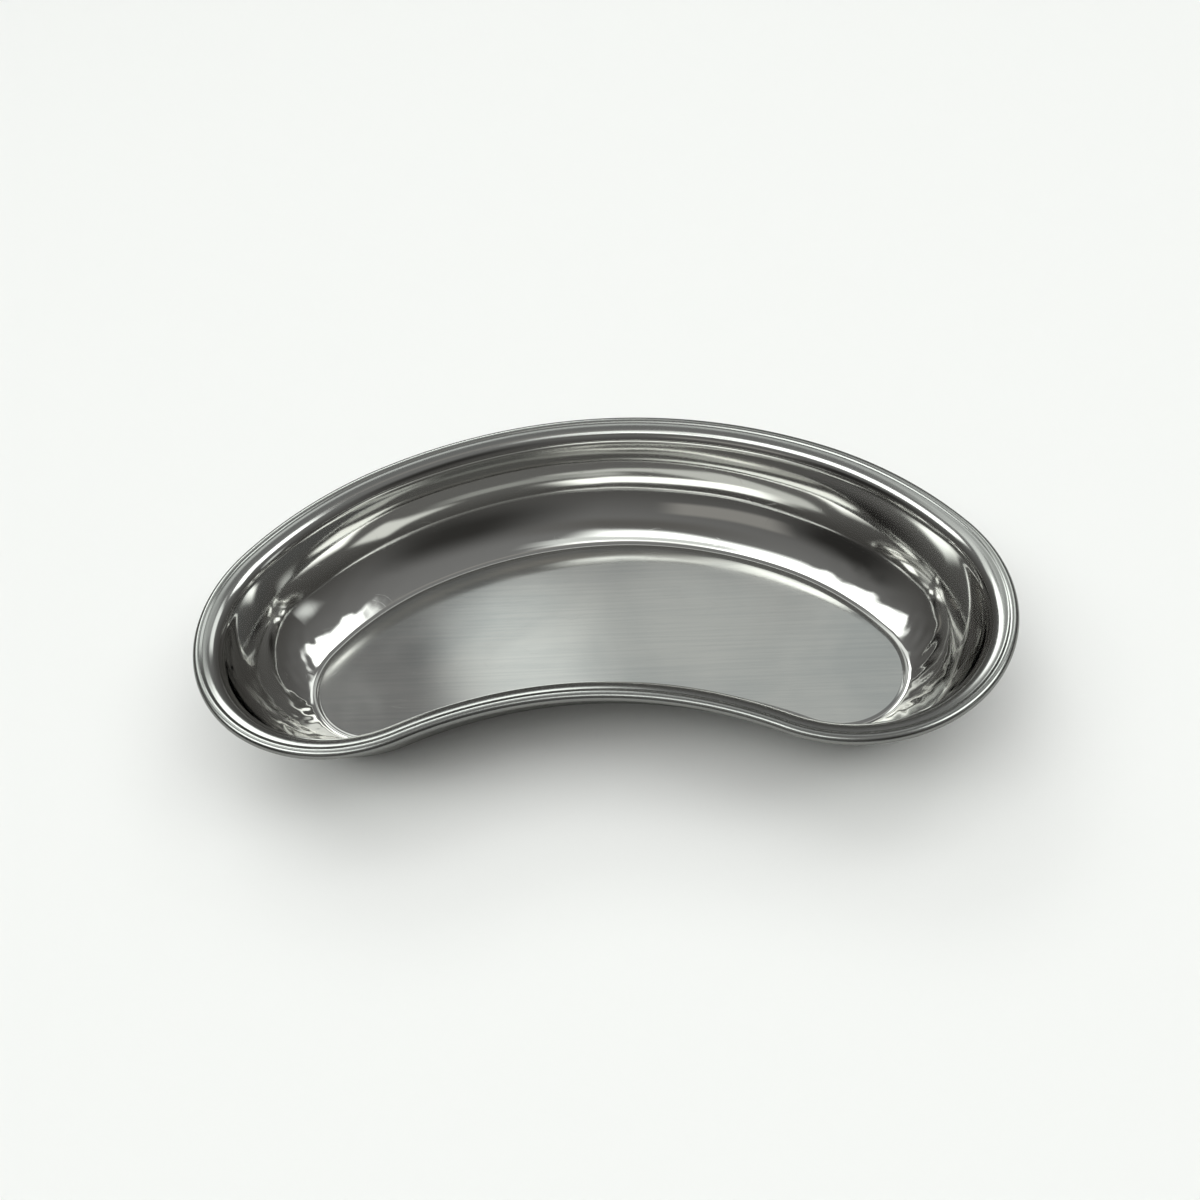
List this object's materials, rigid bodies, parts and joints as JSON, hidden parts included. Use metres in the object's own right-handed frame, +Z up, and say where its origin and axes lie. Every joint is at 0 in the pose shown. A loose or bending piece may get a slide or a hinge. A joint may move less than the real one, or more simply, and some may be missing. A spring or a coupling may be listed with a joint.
{
  "type": "kidney dish",
  "caption": "Kidney-shaped shallow dish pressed from thin stainless sheet, with a flat floor, bulging wall, short brim and hollow rolled edge.",
  "frame": {"origin": "under the middle of the dish, on the plane of the flat base that it stands on", "axes": "+X along the length, +Y towards the round back, -Y towards the hollow front, +Z up out of the dish"},
  "size_m": [0.25, 0.134, 0.038],
  "materials": {
    "stainless_steel": "polished wall and rolled edge, satin floor, dull unpolished base and brim underside"
  },
  "bodies": {
    "root": {"dish": "stainless_steel"}
  },
  "joints": []
}
